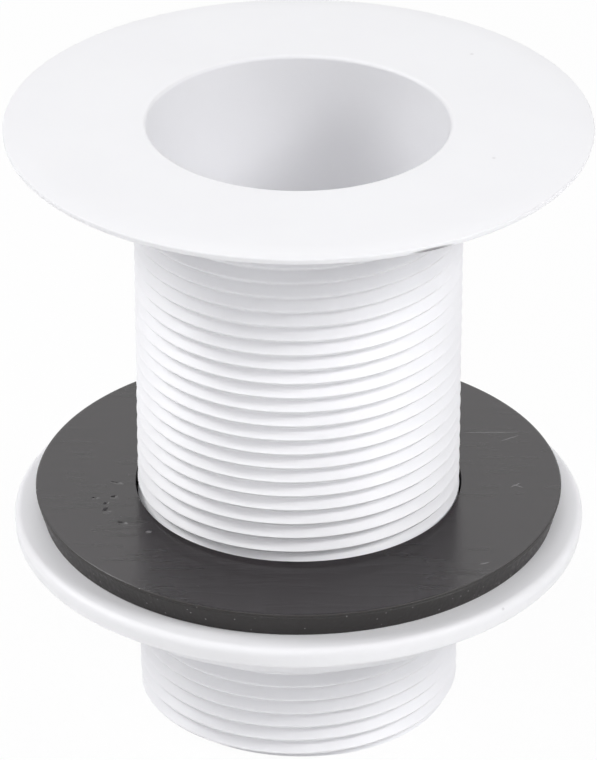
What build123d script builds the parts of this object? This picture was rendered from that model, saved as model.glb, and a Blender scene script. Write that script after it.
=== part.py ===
from build123d import *
import os

# A plastic sink waste standing on the end of its tail: a flanged body with a tapered mouth, a bore and a
# long threaded tail, a flanged hexagonal back nut screwed part of the way up the tail, and a flat rubber
# washer lying on the nut. The sink's bottom is clamped between the flange and the washer.
# Millimetres, +Z up the waste's axis, origin at the centre of the tail's end.

# Waste body
overall_height = 93.6
flange_diameter = 85.0
flange_thickness = 1.3
flange_lip_width = 2.4
flange_lip_drop = 0.3
flange_root_chamfer = 0.8
thread_diameter = 47.8
tail_wall = 3.4
tail_chamfer = 1.0
seat_depth = 26.0
seat_widening = 1.35
mouth_edge_radius = 0.55

# Back nut, with the height of its lower face on the tail and the angle at which it stands there
nut_rest_height = 18.6
nut_rest_angle = -1.7
nut_height = 12.0
nut_wall = 5.15
nut_corner_radius = 1.0
nut_end_chamfer_angle = 30.0
nut_flange_thickness = 3.1
nut_lip_chamfer = 0.9
nut_thread_clearance = 0.2
nut_thread_lead = 0.8

# Rubber washer, whose cut edge leans in towards its lower face
washer_thickness = 4.0
washer_inset = 3.35
washer_edge_lean = 1.15
washer_bore_clearance = 0.6

# Heights and radii that follow from the sizes above; the nut's flange is as wide as the body's
flange_radius = flange_diameter / 2
flange_underside = overall_height - flange_thickness
thread_radius = thread_diameter / 2
bore_radius = thread_radius - tail_wall
nut_top = nut_rest_height + nut_height
nut_flange_underside = nut_top - nut_flange_thickness
nut_bore_radius = thread_radius + nut_thread_clearance
nut_flat_radius = nut_bore_radius + nut_wall
washer_bore_radius = thread_radius + washer_bore_clearance
washer_radius = flange_radius - washer_inset

# Waste body: one turned section, with the flange sloping off to its rim, then its rounded and broken edges
with BuildPart() as waste_body:
    with BuildSketch(Plane.XZ):
        with BuildLine():
            Polyline(
                (bore_radius, 0),
                (thread_radius, 0),
                (thread_radius, flange_underside),
                (flange_radius, flange_underside),
                (flange_radius, overall_height - flange_lip_drop),
                (flange_radius - flange_lip_width, overall_height),
                (bore_radius + seat_widening, overall_height),
                (bore_radius, overall_height - seat_depth),
                close=True,
            )
        make_face()
    revolve(axis=Axis.Z)
    underside = waste_body.faces().filter_by(GeomType.PLANE).sort_by(Axis.Z)[1]
    chamfer(underside.edges().sort_by(SortBy.RADIUS)[0], flange_root_chamfer)
    fillet(waste_body.faces().sort_by(Axis.Z)[-1].edges().sort_by(SortBy.RADIUS)[0], mouth_edge_radius)
    chamfer(waste_body.faces().sort_by(Axis.Z)[0].edges().sort_by(SortBy.RADIUS)[-1], tail_chamfer)

# Back nut: a hexagon with its lower corners turned off, under a wide round flange
with BuildPart() as back_nut:
    with BuildSketch(Plane.XY.offset(nut_rest_height)):
        RegularPolygon(nut_flat_radius, 6, major_radius=False, rotation=nut_rest_angle)
    extrude(amount=nut_height - nut_flange_thickness)
    fillet(back_nut.edges().filter_by(Axis.Z), nut_corner_radius)
    with BuildSketch(Plane.XY.offset(nut_rest_height)):
        Circle(nut_flat_radius)
    extrude(
        amount=nut_height - nut_flange_thickness,
        taper=nut_end_chamfer_angle - 90,
        mode=Mode.INTERSECT,
    )
    with BuildSketch(Plane.XY.offset(nut_flange_underside)):
        Circle(flange_radius)
    extrude(amount=nut_flange_thickness)
    chamfer(back_nut.faces().sort_by(Axis.Z)[-1].edges(), nut_lip_chamfer)
    with Locations((0, 0, nut_top)):
        Hole(nut_bore_radius)
    chamfer(back_nut.faces().sort_by(Axis.Z)[0].edges().sort_by(SortBy.RADIUS)[0], nut_thread_lead)

# Rubber washer: a flat ring cut from sheet, lying on the nut
with BuildPart() as rubber_washer:
    with BuildSketch(Plane.XZ):
        with BuildLine():
            Polyline(
                (washer_bore_radius, nut_top),
                (washer_radius - washer_edge_lean, nut_top),
                (washer_radius, nut_top + washer_thickness),
                (washer_bore_radius, nut_top + washer_thickness),
                close=True,
            )
        make_face()
    revolve(axis=Axis.Z)

waste_body.part.label = "waste_body"
back_nut.part.label = "back_nut"
rubber_washer.part.label = "rubber_washer"

os.makedirs("parts", exist_ok=True)
export_step(waste_body.part, "parts/waste_body.step")
export_step(back_nut.part, "parts/back_nut.step")
export_step(rubber_washer.part, "parts/rubber_washer.step")
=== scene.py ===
import logging
import math
from dataclasses import dataclass
from enum import Enum

import bmesh
import bpy
from mathutils import Matrix, Vector


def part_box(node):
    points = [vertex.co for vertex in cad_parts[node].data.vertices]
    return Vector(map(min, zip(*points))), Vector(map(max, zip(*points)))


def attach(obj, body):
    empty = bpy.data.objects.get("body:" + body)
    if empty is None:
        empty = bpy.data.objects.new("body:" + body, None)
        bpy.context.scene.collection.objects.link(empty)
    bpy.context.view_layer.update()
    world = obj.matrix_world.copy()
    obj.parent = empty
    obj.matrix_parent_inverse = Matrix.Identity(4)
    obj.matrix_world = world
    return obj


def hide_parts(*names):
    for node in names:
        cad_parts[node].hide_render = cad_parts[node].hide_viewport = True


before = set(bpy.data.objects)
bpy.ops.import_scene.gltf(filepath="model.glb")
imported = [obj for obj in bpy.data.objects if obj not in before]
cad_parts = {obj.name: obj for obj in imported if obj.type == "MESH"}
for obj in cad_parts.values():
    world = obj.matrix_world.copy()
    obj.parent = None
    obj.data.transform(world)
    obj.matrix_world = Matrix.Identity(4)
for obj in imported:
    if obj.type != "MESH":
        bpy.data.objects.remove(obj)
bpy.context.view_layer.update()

MM = 0.001
LOG = logging.getLogger("sink_waste")

Loop = list[bmesh.types.BMEdge]
Socket = bpy.types.NodeSocket
Colour = tuple[float, float, float]


class Slot(Enum):
    """Material slot names for white plastic and black rubber; the pieces make their own materials and do not
    use them.
    """

    WHITE_PLASTIC = "white_plastic"
    BLACK_RUBBER = "black_rubber"


@dataclass(frozen=True)
class Corner:
    """One corner of a turned outline, with the radius that it is rounded to."""

    radius: float
    height: float
    rounding: float = 0.0
    segments: int = 6


@dataclass(frozen=True)
class Mark:
    """An oval mark, such as a blemish, a scratch, a pit or a painted shadow: its middle, its half lengths,
    its turn about the waste's axis and its strength.
    """

    middle: tuple[float, float, float]
    reach: tuple[float, float, float]
    turn: float = 0.0
    strength: float = 1.0


@dataclass(frozen=True)
class PipeThread:
    """The right-hand pipe thread that the tail and the nut share.

    The groove's height is given for the waste's +X side, and the flanks lean by half_angle.
    """

    crest_radius: float
    groove_height: float
    pitch: float = 2.309 * MM
    depth: float = 1.479 * MM
    rounding: float = 0.317 * MM
    half_angle: float = math.radians(27.5)
    steps: int = 180

    def root_radius(self) -> float:
        """Returns the radius at the bottom of the groove."""
        return self.crest_radius - self.depth

    def section(self, clearance: float) -> list[tuple[float, float]]:
        """Gives the corners of one pitch of the thread, from the middle of a groove to that of the next.

        Args:
            clearance: how far the whole section stands out from the tail's own.

        Returns:
            The radius and the height above the first groove of each corner.
        """
        reach = self.rounding * math.cos(self.half_angle)
        drop = self.rounding * (1.0 - math.sin(self.half_angle))
        root = self.root_radius() + clearance
        crest = self.crest_radius + clearance
        middle = self.pitch / 2
        return [
            (root, 0.0),
            (root + drop, reach),
            (crest - drop, middle - reach),
            (crest, middle),
            (crest - drop, middle + reach),
            (root + drop, self.pitch - reach),
            (root, self.pitch),
        ]


class Lathe:
    """A mesh in the making whose walls are turned round the waste's axis, ring by ring."""

    support: float = 0.12 * MM
    weld: float = 0.01 * MM
    level_slack: float = 1e-7

    def __init__(self) -> None:
        """Starts with an empty mesh."""
        self.bm = bmesh.new()

    def circle(self, radius: float, height: float, steps: int) -> Loop:
        """Draws a level circle round the axis.

        Args:
            radius: the circle's radius.
            height: its height.
            steps: how many edges it has.

        Returns:
            Its edges.
        """
        verts = bmesh.ops.create_circle(self.bm, segments=steps, radius=radius)["verts"]
        bmesh.ops.translate(self.bm, vec=(0, 0, height), verts=verts)
        return self.edges_among(verts)

    def edges_among(self, verts: list[bmesh.types.BMVert]) -> Loop:
        """Returns the edges that join the given vertices to each other."""
        chosen = set(verts)
        return [edge for edge in {e for v in verts for e in v.link_edges} if chosen.issuperset(edge.verts)]

    def grow(self, loop: Loop, radius: float, height: float) -> Loop:
        """Extrudes a ring into the next ring of a turned wall.

        Args:
            loop: the edges of the last ring.
            radius: the new ring's radius.
            height: the new ring's height.

        Returns:
            The edges of the new ring.
        """
        first = loop[0].verts[0].co
        widening = radius / first.xy.length
        lift = height - first.z
        grown = bmesh.ops.extrude_edge_only(self.bm, edges=loop)["geom"]
        verts = [item for item in grown if isinstance(item, bmesh.types.BMVert)]
        bmesh.ops.scale(self.bm, vec=(widening, widening, 1), verts=verts)
        bmesh.ops.translate(self.bm, vec=(0, 0, lift), verts=verts)
        return self.edges_among(verts)

    def turn(self, loop: Loop, corners: list[Corner]) -> Loop:
        """Grows a turned wall along an outline and rounds its corners.

        A rounded corner has a ring on each side of it, so that its shading stays off the flats beside it.

        Args:
            loop: the ring that the wall starts from.
            corners: the outline's corners, in order.

        Returns:
            The wall's last ring.
        """
        start = loop[0].verts[0].co
        points = [Vector((start.xy.length, start.z))]
        points += [Vector((corner.radius, corner.height)) for corner in corners]
        rounded = []
        for before, corner, here, after in zip(points, corners, points[1:], points[2:] + [None]):
            if corner.rounding == 0.0 or after is None:
                loop = self.grow(loop, *here)
                continue
            come = (before - here).normalized()
            leave = (after - here).normalized()
            offset = corner.rounding / math.tan(come.angle(leave) / 2)
            loop = self.grow(loop, *(here + come * (offset + self.support)))
            loop = self.grow(loop, *here)
            rounded.append((loop, offset, corner.segments))
            loop = self.grow(loop, *(here + leave * (offset + self.support)))
        for edges, offset, segments in rounded:
            bmesh.ops.bevel(
                self.bm,
                geom=edges,
                offset=offset,
                offset_type="OFFSET",
                affect="EDGES",
                segments=segments,
                profile=0.5,
                material=-1,
            )
        return loop

    def thread(self, thread: PipeThread, low: float, high: float, clearance: float = 0.0) -> None:
        """Stacks one pitch of a thread, sweeps the stack once round a helix and trims it level at both ends.

        Args:
            thread: the thread to cut.
            low: the height of its lower end.
            high: the height of its upper end.
            clearance: how far it stands out from the tail's own thread.
        """
        turns = math.ceil((high - low) / thread.pitch) + 3
        below = math.ceil((thread.groove_height - low) / thread.pitch) + 1
        start = thread.groove_height - below * thread.pitch
        verts = [self.bm.verts.new((radius, 0, start + rise)) for radius, rise in thread.section(clearance)]
        edges = [self.bm.edges.new(pair) for pair in zip(verts, verts[1:])]
        about = {"cent": (0, 0, 0), "axis": (0, 0, 1), "use_merge": False}
        stacking = {"dvec": (0, 0, thread.pitch), "angle": 0.0, "steps": turns, "use_duplicate": True}
        bmesh.ops.spin(self.bm, geom=verts + edges, **about, **stacking)
        bmesh.ops.remove_doubles(self.bm, verts=self.bm.verts, dist=self.weld)
        rising = {"dvec": (0, 0, thread.pitch / thread.steps), "angle": math.tau, "steps": thread.steps}
        bmesh.ops.spin(self.bm, geom=list(self.bm.verts) + list(self.bm.edges), **about, **rising)
        bmesh.ops.remove_doubles(self.bm, verts=self.bm.verts, dist=self.weld)
        for height, side in ((low, -1), (high, 1)):
            bmesh.ops.bisect_plane(
                self.bm,
                geom=list(self.bm.verts) + list(self.bm.edges) + list(self.bm.faces),
                plane_co=(0, 0, height),
                plane_no=(0, 0, side),
                clear_outer=True,
            )

    def level_loop(self, height: float) -> Loop:
        """Returns the open edges of the mesh that lie at the given height."""
        return [
            edge
            for edge in self.bm.edges
            if edge.is_boundary and all(abs(vert.co.z - height) < self.level_slack for vert in edge.verts)
        ]

    def bridge(self, first: Loop, last: Loop) -> None:
        """Closes the gap between two rings."""
        bmesh.ops.bridge_loops(self.bm, edges=first + last)

    def cap(self, outer: Loop, inner: Loop) -> None:
        """Fills the level ring between two outlines at one height."""
        bmesh.ops.triangle_fill(self.bm, edges=outer + inner, use_beauty=True, use_dissolve=False)

    def piece(self, name: str, sharp_angle: float = math.radians(40)) -> bpy.types.Object:
        """Turns the mesh into an object, with its faces outwards and its shading smooth.

        Args:
            name: the object's name.
            sharp_angle: the angle between two faces past which their edge stays sharp.

        Returns:
            The object.
        """
        bmesh.ops.recalc_face_normals(self.bm, faces=self.bm.faces)
        mesh = bpy.data.meshes.new(name)
        self.bm.to_mesh(mesh)
        self.bm.free()
        mesh.shade_smooth()
        mesh.set_sharp_from_angle(angle=sharp_angle)
        item = bpy.data.objects.new(name, mesh)
        bpy.context.scene.collection.objects.link(item)
        return item


class Graph:
    """Adds and joins the nodes of one material that reads Object coordinates."""

    def __init__(self, name: str) -> None:
        """Makes the material and finds its shader."""
        self.material = bpy.data.materials.new(name)
        self.material.use_nodes = True
        self.tree = self.material.node_tree
        self.shader = self.tree.nodes["Principled BSDF"]
        self.place = self.tree.nodes.new("ShaderNodeTexCoord").outputs["Object"]

    def node(self, kind: str, inputs: dict, **settings: object) -> bpy.types.Node:
        """Adds a node.

        Args:
            kind: the node's type.
            inputs: the value of each input, or the socket that feeds it, by name or number.
            settings: the node's own settings.

        Returns:
            The node.
        """
        made = self.tree.nodes.new(kind)
        for key, value in settings.items():
            setattr(made, key, value)
        for key, value in inputs.items():
            if isinstance(value, bpy.types.NodeSocket):
                self.tree.links.new(value, made.inputs[key])
            else:
                made.inputs[key].default_value = value
        return made

    def stretched(self, scale: tuple[float, float, float]) -> Socket:
        """Returns the coordinates scaled along each axis."""
        return self.node("ShaderNodeMapping", {"Vector": self.place, "Scale": scale}).outputs[0]

    def noise(
        self,
        size: float,
        detail: float = 2.0,
        warp: float = 0.0,
        where: Socket | None = None,
    ) -> Socket:
        """Returns the grey level of a noise whose blots are about the given size across, in metres."""
        inputs = {"Vector": where or self.place, "Scale": 1 / size, "Detail": detail, "Distortion": warp}
        return self.node("ShaderNodeTexNoise", inputs).outputs[0]

    def spots(self, spacing: float) -> tuple[Socket, Socket]:
        """Returns each cell's distance from its centre, in cells, and its random colour."""
        cells = self.node("ShaderNodeTexVoronoi", {"Vector": self.place, "Scale": 1 / spacing})
        return cells.outputs["Distance"], cells.outputs["Color"]

    def marks(self, marks: tuple[Mark, ...], full: float) -> Socket | float:
        """Draws oval marks, blemishes and painted shadows alike, at their own places.

        Args:
            marks: the blemishes and painted shadows to draw.
            full: how far in from its edge a mark reaches its full strength, as a share of its half length.

        Returns:
            A level that is 0 outside them and rises to each one's strength inside.
        """
        level = 0.0
        for mark in marks:
            inputs = {
                "Vector": self.place,
                "Location": mark.middle,
                "Scale": mark.reach,
                "Rotation": (0, 0, mark.turn),
            }
            local = self.node("ShaderNodeMapping", inputs, vector_type="TEXTURE").outputs[0]
            oval = self.node("ShaderNodeTexGradient", {"Vector": local}, gradient_type="SPHERICAL").outputs[1]
            level = self.compute("MAXIMUM", level, self.remap(oval, 0.0, full, 0.0, mark.strength))
        return level

    def remap(
        self,
        value: Socket,
        low: float,
        high: float,
        to_low: float = 0.0,
        to_high: float = 1.0,
    ) -> Socket:
        """Returns a value stretched from one range to another and held inside it."""
        inputs = {"Value": value, 1: low, 2: high, 3: to_low, 4: to_high}
        return self.node("ShaderNodeMapRange", inputs).outputs[0]

    def compute(self, kind: str, first: Socket | float, second: Socket | float) -> Socket:
        """Returns the result of one operation of the Math node."""
        return self.node("ShaderNodeMath", {0: first, 1: second}, operation=kind).outputs[0]

    def blend(self, factor: Socket, first: Socket | Colour, second: Socket | Colour) -> Socket:
        """Returns a colour between two others."""
        colours = [(*c, 1.0) if isinstance(c, tuple) else c for c in (first, second)]
        mix = self.node("ShaderNodeMix", {0: factor, 6: colours[0], 7: colours[1]}, data_type="RGBA")
        return mix.outputs[2]

    def bump(
        self,
        height: Socket,
        distance: float,
        strength: float = 1.0,
        under: Socket | None = None,
    ) -> Socket:
        """Returns a normal roughened by a height, given in metres by distance."""
        inputs = {"Height": height, "Distance": distance, "Strength": strength}
        if under is not None:
            inputs["Normal"] = under
        return self.node("ShaderNodeBump", inputs).outputs[0]

    def feed(self, **inputs: Socket | float | Colour) -> None:
        """Sets or joins the shader's inputs, named with _ for a space."""
        for key, value in inputs.items():
            target = self.shader.inputs[key.replace("_", " ")]
            if isinstance(value, bpy.types.NodeSocket):
                self.tree.links.new(value, target)
            else:
                target.default_value = (*value, 1.0) if isinstance(value, tuple) else value


@dataclass(frozen=True)
class MouldedPlastic:
    """Satin white moulded plastic, faintly cool, with a trace of mould texture and a few small dark marks:
    specks of dirt, and on the body's rim a painted shadow.
    """

    name: str
    marks: tuple[Mark, ...]
    colour: Colour = (0.93, 0.929, 0.952)
    shade: Colour = (0.918, 0.916, 0.94)
    dirt_and_shadow: Colour = (0.3, 0.29, 0.3)
    roughness: float = 0.45
    mottle_size: float = 14 * MM
    haze_size: float = 5 * MM
    wave_size: float = 9 * MM
    wave_depth: float = 0.02 * MM
    grain_size: float = 0.6 * MM
    grain_depth: float = 0.004 * MM

    def material(self) -> bpy.types.Material:
        """Returns the material."""
        graph = Graph(self.name)
        mottle = graph.remap(graph.noise(self.mottle_size, 3.0), 0.35, 0.65)
        dirt_and_shadow_level = graph.marks(self.marks, 0.5)
        # the marks darken the plastic to the dark colour: real specks of dirt, and on the body's rim a
        # painted shadow under a flash
        colour = graph.blend(dirt_and_shadow_level, graph.blend(mottle, self.shade, self.colour), self.dirt_and_shadow)
        haze = graph.noise(self.haze_size, 4.0)
        roughness = graph.remap(haze, 0.3, 0.7, self.roughness - 0.05, self.roughness + 0.06)
        waves = graph.bump(graph.noise(self.wave_size, 1.0), self.wave_depth, 0.5)
        skin = graph.bump(graph.noise(self.grain_size, 1.0), self.grain_depth, 0.4, waves)
        graph.feed(Base_Color=colour, Roughness=roughness, Normal=skin, IOR=1.49)
        return graph.material


@dataclass(frozen=True)
class SheetRubber:
    """The rolled face of black rubber sheet: glossy, with faint streaks, pits and light scratches; along the
    streaks the colour goes darker as a painted dimming of the sheen.
    """

    name: str
    scratches: tuple[Mark, ...]
    pits: tuple[Mark, ...]
    colour: Colour = (0.0165, 0.0125, 0.0145)
    painted_dim_sheen: Colour = (0.003, 0.002, 0.0022)
    scratch: Colour = (0.14, 0.135, 0.14)
    roughness: float = 0.2
    streak_roughness: float = 0.16
    streak_size: float = 8 * MM
    patch_size: float = 15 * MM
    roll_depth: float = 0.012 * MM
    pit_depth: float = 0.3 * MM

    def material(self) -> bpy.types.Material:
        """Returns the material."""
        graph = Graph(self.name)
        drawn_out = graph.noise(self.streak_size, 3.0, 0.3, graph.stretched((1.0, 6.0, 1.0)))
        lines = graph.remap(drawn_out, 0.5, 0.7)
        patches = graph.remap(graph.noise(self.patch_size, 2.0), 0.42, 0.58)
        streaks_and_dim_sheen = graph.compute("MULTIPLY", lines, patches)
        # painted dimming of the sheen: the colour darkens along the rolled streaks, where the sheet's
        # reflection is broken; their roughness and bump are the rubber's own
        rubber = graph.blend(streaks_and_dim_sheen, self.colour, self.painted_dim_sheen)
        colour = graph.blend(graph.marks(self.scratches, 0.4), rubber, self.scratch)
        roughness = graph.remap(streaks_and_dim_sheen, 0.0, 1.0, self.roughness, self.roughness + self.streak_roughness)
        rolled = graph.bump(lines, self.roll_depth)
        sunk = graph.compute("MULTIPLY", graph.marks(self.pits, 0.8), -1.0)
        pitted = graph.bump(sunk, self.pit_depth, 1.0, rolled)
        graph.feed(Base_Color=colour, Roughness=roughness, Normal=pitted, IOR=1.62)
        return graph.material


@dataclass(frozen=True)
class CutRubber:
    """The cut edge of black rubber sheet: dull, grainy from the knife, with sparse pale crumbs."""

    name: str
    colour: Colour = (0.011, 0.0085, 0.0078)
    torn: Colour = (0.022, 0.02, 0.02)
    crumb: Colour = (0.2, 0.19, 0.19)
    roughness: float = 0.5
    tear_size: float = 0.6 * MM
    crumb_spacing: float = 0.75 * MM
    crumb_limit: float = 0.7
    cut_size: float = 0.7 * MM
    cut_depth: float = 0.1 * MM

    def material(self) -> bpy.types.Material:
        """Returns the material."""
        graph = Graph(self.name)
        tears = graph.noise(self.tear_size, 4.0)
        distance, tint = graph.spots(self.crumb_spacing)
        near = graph.remap(distance, 0.1, 0.2, 1.0, 0.0)
        crumbs = graph.compute("MULTIPLY", near, graph.compute("GREATER_THAN", tint, self.crumb_limit))
        rubber = graph.blend(graph.remap(tears, 0.45, 0.72), self.colour, self.torn)
        colour = graph.blend(crumbs, rubber, self.crumb)
        roughness = graph.remap(tears, 0.3, 0.7, self.roughness - 0.1, self.roughness + 0.12)
        cuts = graph.noise(self.cut_size, 3.0, 0.0, graph.stretched((1.0, 1.0, 0.5)))
        normal = graph.bump(cuts, self.cut_depth, 0.7)
        graph.feed(Base_Color=colour, Roughness=roughness, Normal=normal)
        return graph.material


@dataclass
class WasteBody:
    """The flanged body: flange, tapered mouth, bore and threaded tail, turned as one piece."""

    thread: PipeThread
    node: str = "waste_body"
    flange_thickness: float = 1.3 * MM
    lip_width: float = 2.4 * MM
    lip_drop: float = 0.3 * MM
    lip_curve: float = 16.0 * MM
    rim_break: float = 0.2 * MM
    rim_round: float = 0.4 * MM
    rim_lean: float = 0.35 * MM
    root_radius: float = 0.8 * MM
    mouth_radius: float = 21.85 * MM
    mouth_edge: float = 0.55 * MM
    seat_depth: float = 26.0 * MM
    seat_curve: float = 60.0 * MM
    bore_radius: float = 20.5 * MM
    bore_break: float = 0.3 * MM
    thread_end: float = 88.0 * MM
    thread_fade: float = 2.6 * MM
    fade_share: float = 0.9
    tail_chamfer: float = 1.0 * MM
    marks: tuple[Mark, ...] = (
        Mark((27.6 * MM, -11.9 * MM, 93.6 * MM), (0.35 * MM, 0.35 * MM, 0.35 * MM), strength=0.2),
        Mark((25.5 * MM, 22.5 * MM, 93.6 * MM), (0.35 * MM, 0.35 * MM, 0.35 * MM), strength=0.2),
        # painted shadow: a dark band low on the flange's rim at the front right, standing in for the shadow
        # under a flash on the rim
        Mark((18.4 * MM, -38.3 * MM, 92.55 * MM), (4.4 * MM, 0.7 * MM, 0.5 * MM), math.radians(25.7)),
    )

    def trim(self, lathe: Lathe) -> None:
        """Runs the groove out below the neck and turns a chamfer on the tail's end."""
        crest = self.thread.crest_radius
        fade_start = self.thread_end - self.thread_fade
        fade_length = self.thread_fade * self.fade_share
        for vert in lathe.bm.verts:
            radius = vert.co.xy.length
            fade = min(1.0, max(0.0, (vert.co.z - fade_start) / fade_length))
            wanted = radius + (crest - radius) * fade
            wanted = min(wanted, crest - self.tail_chamfer + vert.co.z)
            vert.co.xy *= wanted / radius

    def build(self) -> bpy.types.Object:
        """Models the body and puts it in its node's place.

        Returns:
            The body's object.
        """
        low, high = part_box(self.node)
        rim = high.x
        top = high.z
        underside = top - self.flange_thickness
        lathe = Lathe()
        lathe.thread(self.thread, low.z, self.thread_end)
        self.trim(lathe)
        tail_end = lathe.level_loop(low.z)
        bore_end = lathe.turn(
            lathe.level_loop(self.thread_end),
            [
                Corner(self.thread.crest_radius, underside, self.root_radius),
                Corner(rim - self.rim_lean, underside, self.rim_round, 5),
                Corner(rim, top - self.lip_drop, self.rim_break, 4),
                Corner(rim - self.lip_width, top, self.lip_curve, 6),
                Corner(self.mouth_radius, top, self.mouth_edge, 8),
                Corner(self.bore_radius, top - self.seat_depth, self.seat_curve, 4),
                Corner(self.bore_radius, low.z, self.bore_break, 2),
                Corner(self.bore_radius + 2 * self.bore_break, low.z),
            ],
        )
        lathe.bridge(tail_end, bore_end)
        body = lathe.piece("waste_body_detail")
        body.data.materials.append(MouldedPlastic("white_plastic_body", self.marks).material())
        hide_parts(self.node)
        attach(body, "waste_body")
        return body


@dataclass
class BackNut:
    """The flanged hexagonal nut, threaded to run on the tail."""

    thread: PipeThread
    node: str = "back_nut"
    clearance: float = 0.2 * MM
    lead: float = 0.8 * MM
    flange_thickness: float = 3.1 * MM
    lip_radius: float = 1.1 * MM
    rim_lean: float = 0.45 * MM
    rim_round: float = 0.6 * MM
    across_flats: float = 58.5 * MM
    rest_angle: float = math.radians(-1.7)
    corner_radius: float = 1.0 * MM
    chamfer_inset: float = 0.3 * MM
    chamfer_angle: float = math.radians(30)
    flat_cuts: int = 23
    long_edge: float = 20.0 * MM
    seat_margin: float = 0.5 * MM
    marks: tuple[Mark, ...] = (
        Mark((29.7 * MM, -30.3 * MM, 30.3 * MM), (0.5 * MM, 0.5 * MM, 0.4 * MM), strength=0.5),
    )

    def open_ends(self, lathe: Lathe, bottom: float, top: float) -> None:
        """Widens the thread towards both faces of the nut, so that the tail enters."""
        mouth = self.thread.crest_radius + self.clearance + self.lead
        for vert in lathe.bm.verts:
            radius = vert.co.xy.length
            inward = min(vert.co.z - bottom, top - vert.co.z)
            vert.co.xy *= max(radius, mouth - inward) / radius

    def hexagon(self, lathe: Lathe, bottom: float, underside: float, flange: Loop) -> tuple[Loop, Loop]:
        """Models the hexagon under the flange, with its lower corners turned off.

        Args:
            lathe: the mesh to model in.
            bottom: the height of the nut's lower face.
            underside: the height of the flange's lower face.
            flange: the ring at which the flange's lower face ends.

        Returns:
            The hexagon's outline against the flange, and the ring round its lower face.
        """
        bm = lathe.bm
        flat = self.across_flats / 2
        verts = bmesh.ops.create_circle(bm, segments=6, radius=flat / math.cos(math.pi / 6))["verts"]
        corner_to_x = Matrix.Rotation(math.pi / 6 + self.rest_angle, 3, "Z")
        bmesh.ops.rotate(bm, cent=(0, 0, 0), matrix=corner_to_x, verts=verts)
        bmesh.ops.translate(bm, vec=(0, 0, underside), verts=verts)
        upper = lathe.edges_among(verts)
        grown = bmesh.ops.extrude_edge_only(bm, edges=upper)["geom"]
        lower = [item for item in grown if isinstance(item, bmesh.types.BMVert)]
        bmesh.ops.translate(bm, vec=(0, 0, bottom - underside), verts=lower)
        upright = [e for v in lower for e in v.link_edges if abs(e.verts[0].co.z - e.verts[1].co.z) > MM]
        bmesh.ops.bevel(
            bm,
            geom=upright,
            offset=self.corner_radius * math.tan(math.pi / 6),
            offset_type="OFFSET",
            affect="EDGES",
            segments=4,
            profile=0.5,
            material=-1,
        )
        long_edges = [
            e
            for e in bm.edges
            if e.is_boundary
            and e.calc_length() > self.long_edge
            and min(v.co.z for v in e.verts) > bottom - MM
        ]
        bmesh.ops.subdivide_edges(bm, edges=long_edges, cuts=self.flat_cuts, use_grid_fill=True)
        turned = flat - self.chamfer_inset
        ends = {vert for edge in lathe.level_loop(bottom) for vert in edge.verts}
        rim = [vert for vert in ends if vert.co.xy.length > turned]
        for vert in rim:
            vert.co.z = bottom + (vert.co.xy.length - turned) * math.tan(self.chamfer_angle)
        lower_loop = lathe.edges_among(rim)
        grown = bmesh.ops.extrude_edge_only(bm, edges=lower_loop)["geom"]
        face = [item for item in grown if isinstance(item, bmesh.types.BMVert)]
        for vert in face:
            vert.co.xy *= turned / vert.co.xy.length
            vert.co.z = bottom
        outline = [edge for edge in lathe.level_loop(underside) if edge not in flange]
        return outline, lathe.edges_among(face)

    def build(self) -> bpy.types.Object:
        """Models the nut and puts it in its node's place.

        Returns:
            The nut's object.
        """
        low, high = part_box(self.node)
        rim = high.x
        underside = high.z - self.flange_thickness
        lathe = Lathe()
        lathe.thread(self.thread, low.z, high.z, self.clearance)
        self.open_ends(lathe, low.z, high.z)
        bore_end = lathe.level_loop(low.z)
        seat = self.across_flats / 2 / math.cos(math.pi / 6) + self.seat_margin
        flange_end = lathe.turn(
            lathe.level_loop(high.z),
            [
                Corner(rim, high.z, self.lip_radius, 8),
                Corner(rim - self.rim_lean, underside, self.rim_round, 4),
                Corner(seat, underside),
            ],
        )
        outline, lower_face = self.hexagon(lathe, low.z, underside, flange_end)
        lathe.cap(flange_end, outline)
        lathe.cap(lower_face, bore_end)
        nut = lathe.piece("back_nut_detail")
        nut.data.materials.append(MouldedPlastic("white_plastic_nut", self.marks).material())
        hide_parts(self.node)
        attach(nut, "back_nut")
        return nut


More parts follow.
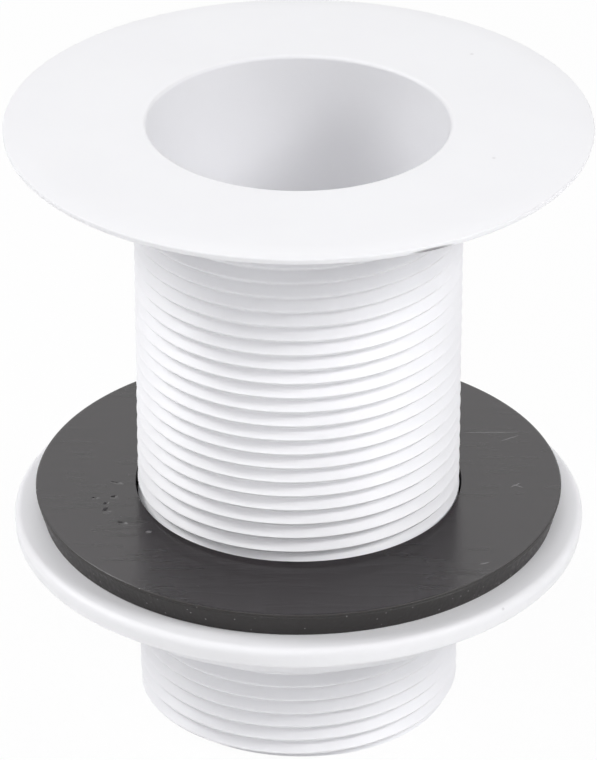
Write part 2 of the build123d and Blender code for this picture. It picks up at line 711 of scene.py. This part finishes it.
@dataclass
class RubberWasher:
    """The flat rubber washer, cut from sheet, that lies on the nut."""

    node: str = "rubber_washer"
    bore_radius: float = 24.25 * MM
    edge_lean: float = 1.15 * MM
    edge_break: float = 0.26 * MM
    line_drop: float = 0.56 * MM
    line_width: float = 0.2 * MM
    line_depth: float = 0.1 * MM
    steps: int = 240
    flat_limit: float = 0.9
    scratches: tuple[Mark, ...] = (
        Mark((29.1 * MM, 13.8 * MM, 34.6 * MM), (4.6 * MM, 0.13 * MM, 0.5 * MM)),
        Mark((31.9 * MM, 12.0 * MM, 34.6 * MM), (1.9 * MM, 0.14 * MM, 0.5 * MM), math.radians(32)),
        Mark((32.2 * MM, -2.1 * MM, 34.6 * MM), (1.2 * MM, 0.16 * MM, 0.5 * MM), math.radians(40)),
        Mark((32.6 * MM, -2.4 * MM, 34.6 * MM), (1.0 * MM, 0.14 * MM, 0.5 * MM), math.radians(-35)),
        Mark((26.9 * MM, -24.7 * MM, 34.6 * MM), (0.9 * MM, 0.2 * MM, 0.5 * MM), math.radians(20)),
        Mark((-21.9 * MM, -15.8 * MM, 34.6 * MM), (0.55 * MM, 0.4 * MM, 0.5 * MM), math.radians(15)),
    )
    pits: tuple[Mark, ...] = (
        Mark((-28.2 * MM, -9.7 * MM, 34.6 * MM), (0.7 * MM, 1.0 * MM, 0.8 * MM)),
        Mark((-28.3 * MM, -7.7 * MM, 34.6 * MM), (0.5 * MM, 0.6 * MM, 0.8 * MM)),
        Mark((-27.2 * MM, -5.7 * MM, 34.6 * MM), (0.6 * MM, 0.5 * MM, 0.8 * MM)),
        Mark((-30.0 * MM, -6.0 * MM, 34.6 * MM), (0.6 * MM, 0.35 * MM, 0.8 * MM)),
        Mark((-25.7 * MM, -13.3 * MM, 34.6 * MM), (0.9 * MM, 0.4 * MM, 0.8 * MM), math.radians(-25)),
        Mark((-27.0 * MM, -1.5 * MM, 34.6 * MM), (1.1 * MM, 0.35 * MM, 0.8 * MM), math.radians(-20)),
    )

    def build(self) -> bpy.types.Object:
        """Models the washer and puts it in its node's place.

        Returns:
            The washer's object.
        """
        low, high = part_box(self.node)
        slope = self.edge_lean / (high.z - low.z)
        line = high.z - self.line_drop
        lathe = Lathe()
        first = lathe.circle(self.bore_radius, low.z, self.steps)
        last = lathe.turn(
            first,
            [
                Corner(high.x - self.edge_lean, low.z, self.edge_break, 2),
                Corner(high.x - slope * (self.line_drop + self.line_width / 2), line - self.line_width / 2),
                Corner(high.x - slope * self.line_drop - self.line_depth, line),
                Corner(high.x - slope * (self.line_drop - self.line_width / 2), line + self.line_width / 2),
                Corner(high.x, high.z, self.edge_break, 3),
                Corner(self.bore_radius, high.z),
            ],
        )
        lathe.bridge(first, last)
        washer = lathe.piece("rubber_washer_detail")
        washer.data.materials.append(SheetRubber("black_rubber_face", self.scratches, self.pits).material())
        washer.data.materials.append(CutRubber("black_rubber_cut_edge").material())
        for polygon in washer.data.polygons:
            polygon.material_index = 0 if abs(polygon.normal.z) > self.flat_limit else 1
        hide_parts(self.node)
        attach(washer, "rubber_washer")
        return washer


@dataclass(frozen=True)
class Softbox:
    """A studio lamp with a wide flat face, aimed at the middle of the waste."""

    name: str
    place: tuple[float, float, float]
    width: float
    height: float
    power: float


@dataclass
class Studio:
    """The pale floor, white surroundings, lamps and camera."""

    aim: tuple[float, float, float] = (0.0, 0.0, 51.24 * MM)
    distance: float = 754.1 * MM
    elevation: float = math.radians(28.86)
    lens: float = 242.57
    sensor_width: float = 36.0
    floor_size: float = 3.0
    floor_colour: Colour = (0.95, 0.95, 0.95)
    floor_roughness: float = 0.9
    floor_white_share: float = 0.95
    ambient: float = 0.12
    lamps: tuple[Softbox, ...] = (
        Softbox("left_softbox", (-0.61, 0.107, 0.56), 0.42, 0.34, 2.88),
        Softbox("right_softbox", (0.57, -0.29, 0.537), 0.3, 0.3, 3.1),
        Softbox("front_softbox", (-0.1, -0.57, 0.6), 0.36, 0.34, 1.35),
        Softbox("front_card", (0.0, -0.62, 0.06), 0.5, 0.1, 0.18),
        Softbox("left_card", (-0.672, -0.388, 0.2), 0.4, 0.25, 0.45),
        Softbox("right_card", (0.65, -0.4, 0.14), 0.4, 0.2, 0.12),
        Softbox("back_panel", (0.0, 0.62, 0.92), 1.1, 0.4, 1.85),
    )

    def add_camera(self) -> None:
        """Sets the camera at the photograph's viewing angle."""
        camera = bpy.data.objects.new("camera", bpy.data.cameras.new("camera"))
        bpy.context.scene.collection.objects.link(camera)
        camera.data.lens = self.lens
        camera.data.sensor_width = self.sensor_width
        away = Vector((0, -math.cos(self.elevation), math.sin(self.elevation)))
        camera.location = Vector(self.aim) + away * self.distance
        camera.rotation_euler = (-away).to_track_quat("-Z", "Y").to_euler()
        bpy.context.scene.camera = camera

    def add_lamps(self) -> None:
        """Hangs the softboxes round the waste."""
        for softbox in self.lamps:
            light = bpy.data.lights.new(softbox.name, "AREA")
            light.shape = "RECTANGLE"
            light.size = softbox.width
            light.size_y = softbox.height
            light.energy = softbox.power
            lamp = bpy.data.objects.new(softbox.name, light)
            lamp.location = softbox.place
            lamp.rotation_euler = (Vector(self.aim) - lamp.location).to_track_quat("-Z", "Y").to_euler()
            bpy.context.scene.collection.objects.link(lamp)

    @staticmethod
    def seen_directly(tree: bpy.types.NodeTree) -> Socket:
        """Returns 1 where the camera, a reflection or a clear piece looks straight at the surface."""
        path = tree.nodes.new("ShaderNodeLightPath")
        total = path.outputs["Is Camera Ray"]
        for name in ("Is Glossy Ray", "Is Transmission Ray"):
            join = tree.nodes.new("ShaderNodeMath")
            join.operation = "MAXIMUM"
            tree.links.new(total, join.inputs[0])
            tree.links.new(path.outputs[name], join.inputs[1])
            total = join.outputs[0]
        return total

    def add_world(self) -> None:
        """Makes the surroundings white to look at and dim as a light."""
        world = bpy.data.worlds.new("surroundings")
        world.use_nodes = True
        bpy.context.scene.world = world
        tree = world.node_tree
        dim = tree.nodes["Background"]
        dim.inputs[0].default_value = (1, 1, 1, 1)
        dim.inputs[1].default_value = self.ambient
        white = tree.nodes.new("ShaderNodeBackground")
        white.inputs[0].default_value = (1, 1, 1, 1)
        white.inputs[1].default_value = 1.0
        mix = tree.nodes.new("ShaderNodeMixShader")
        tree.links.new(self.seen_directly(tree), mix.inputs[0])
        tree.links.new(dim.outputs[0], mix.inputs[1])
        tree.links.new(white.outputs[0], mix.inputs[2])
        tree.links.new(mix.outputs[0], tree.nodes["World Output"].inputs[0])

    def add_floor(self) -> None:
        """Lays the floor, white to look at with the waste's shadow still on it."""
        lathe = Lathe()
        bmesh.ops.create_grid(lathe.bm, x_segments=1, y_segments=1, size=self.floor_size / 2)
        floor = lathe.piece("floor")
        material = bpy.data.materials.new("white_floor")
        material.use_nodes = True
        tree = material.node_tree
        matt = tree.nodes["Principled BSDF"]
        matt.inputs["Base Color"].default_value = (*self.floor_colour, 1)
        matt.inputs["Roughness"].default_value = self.floor_roughness
        glow = tree.nodes.new("ShaderNodeEmission")
        glow.inputs[1].default_value = 1.0
        share = tree.nodes.new("ShaderNodeMath")
        share.operation = "MULTIPLY"
        share.inputs[1].default_value = self.floor_white_share
        tree.links.new(self.seen_directly(tree), share.inputs[0])
        mix = tree.nodes.new("ShaderNodeMixShader")
        tree.links.new(share.outputs[0], mix.inputs[0])
        tree.links.new(matt.outputs[0], mix.inputs[1])
        tree.links.new(glow.outputs[0], mix.inputs[2])
        tree.links.new(mix.outputs[0], tree.nodes["Material Output"].inputs[0])
        floor.data.materials.append(material)

    def build(self) -> None:
        """Sets up the whole studio."""
        self.add_camera()
        self.add_lamps()
        self.add_world()
        self.add_floor()
        bpy.context.scene.view_settings.view_transform = "Standard"


def report(item: bpy.types.Object) -> None:
    """Logs a piece's name, faces and size."""
    LOG.info("%s: %d faces, %s m", item.name, len(item.data.polygons), [round(d, 4) for d in item.dimensions])


def main() -> None:
    """Builds the pieces of the sink waste in order, then the studio round them."""
    logging.basicConfig(level=logging.INFO, format="%(name)s: %(message)s")
    thread = PipeThread(crest_radius=23.9 * MM, groove_height=79.38 * MM)
    for maker in (WasteBody(thread), BackNut(thread), RubberWasher()):
        report(maker.build())
    Studio().build()


if __name__ == "__main__":
    main()
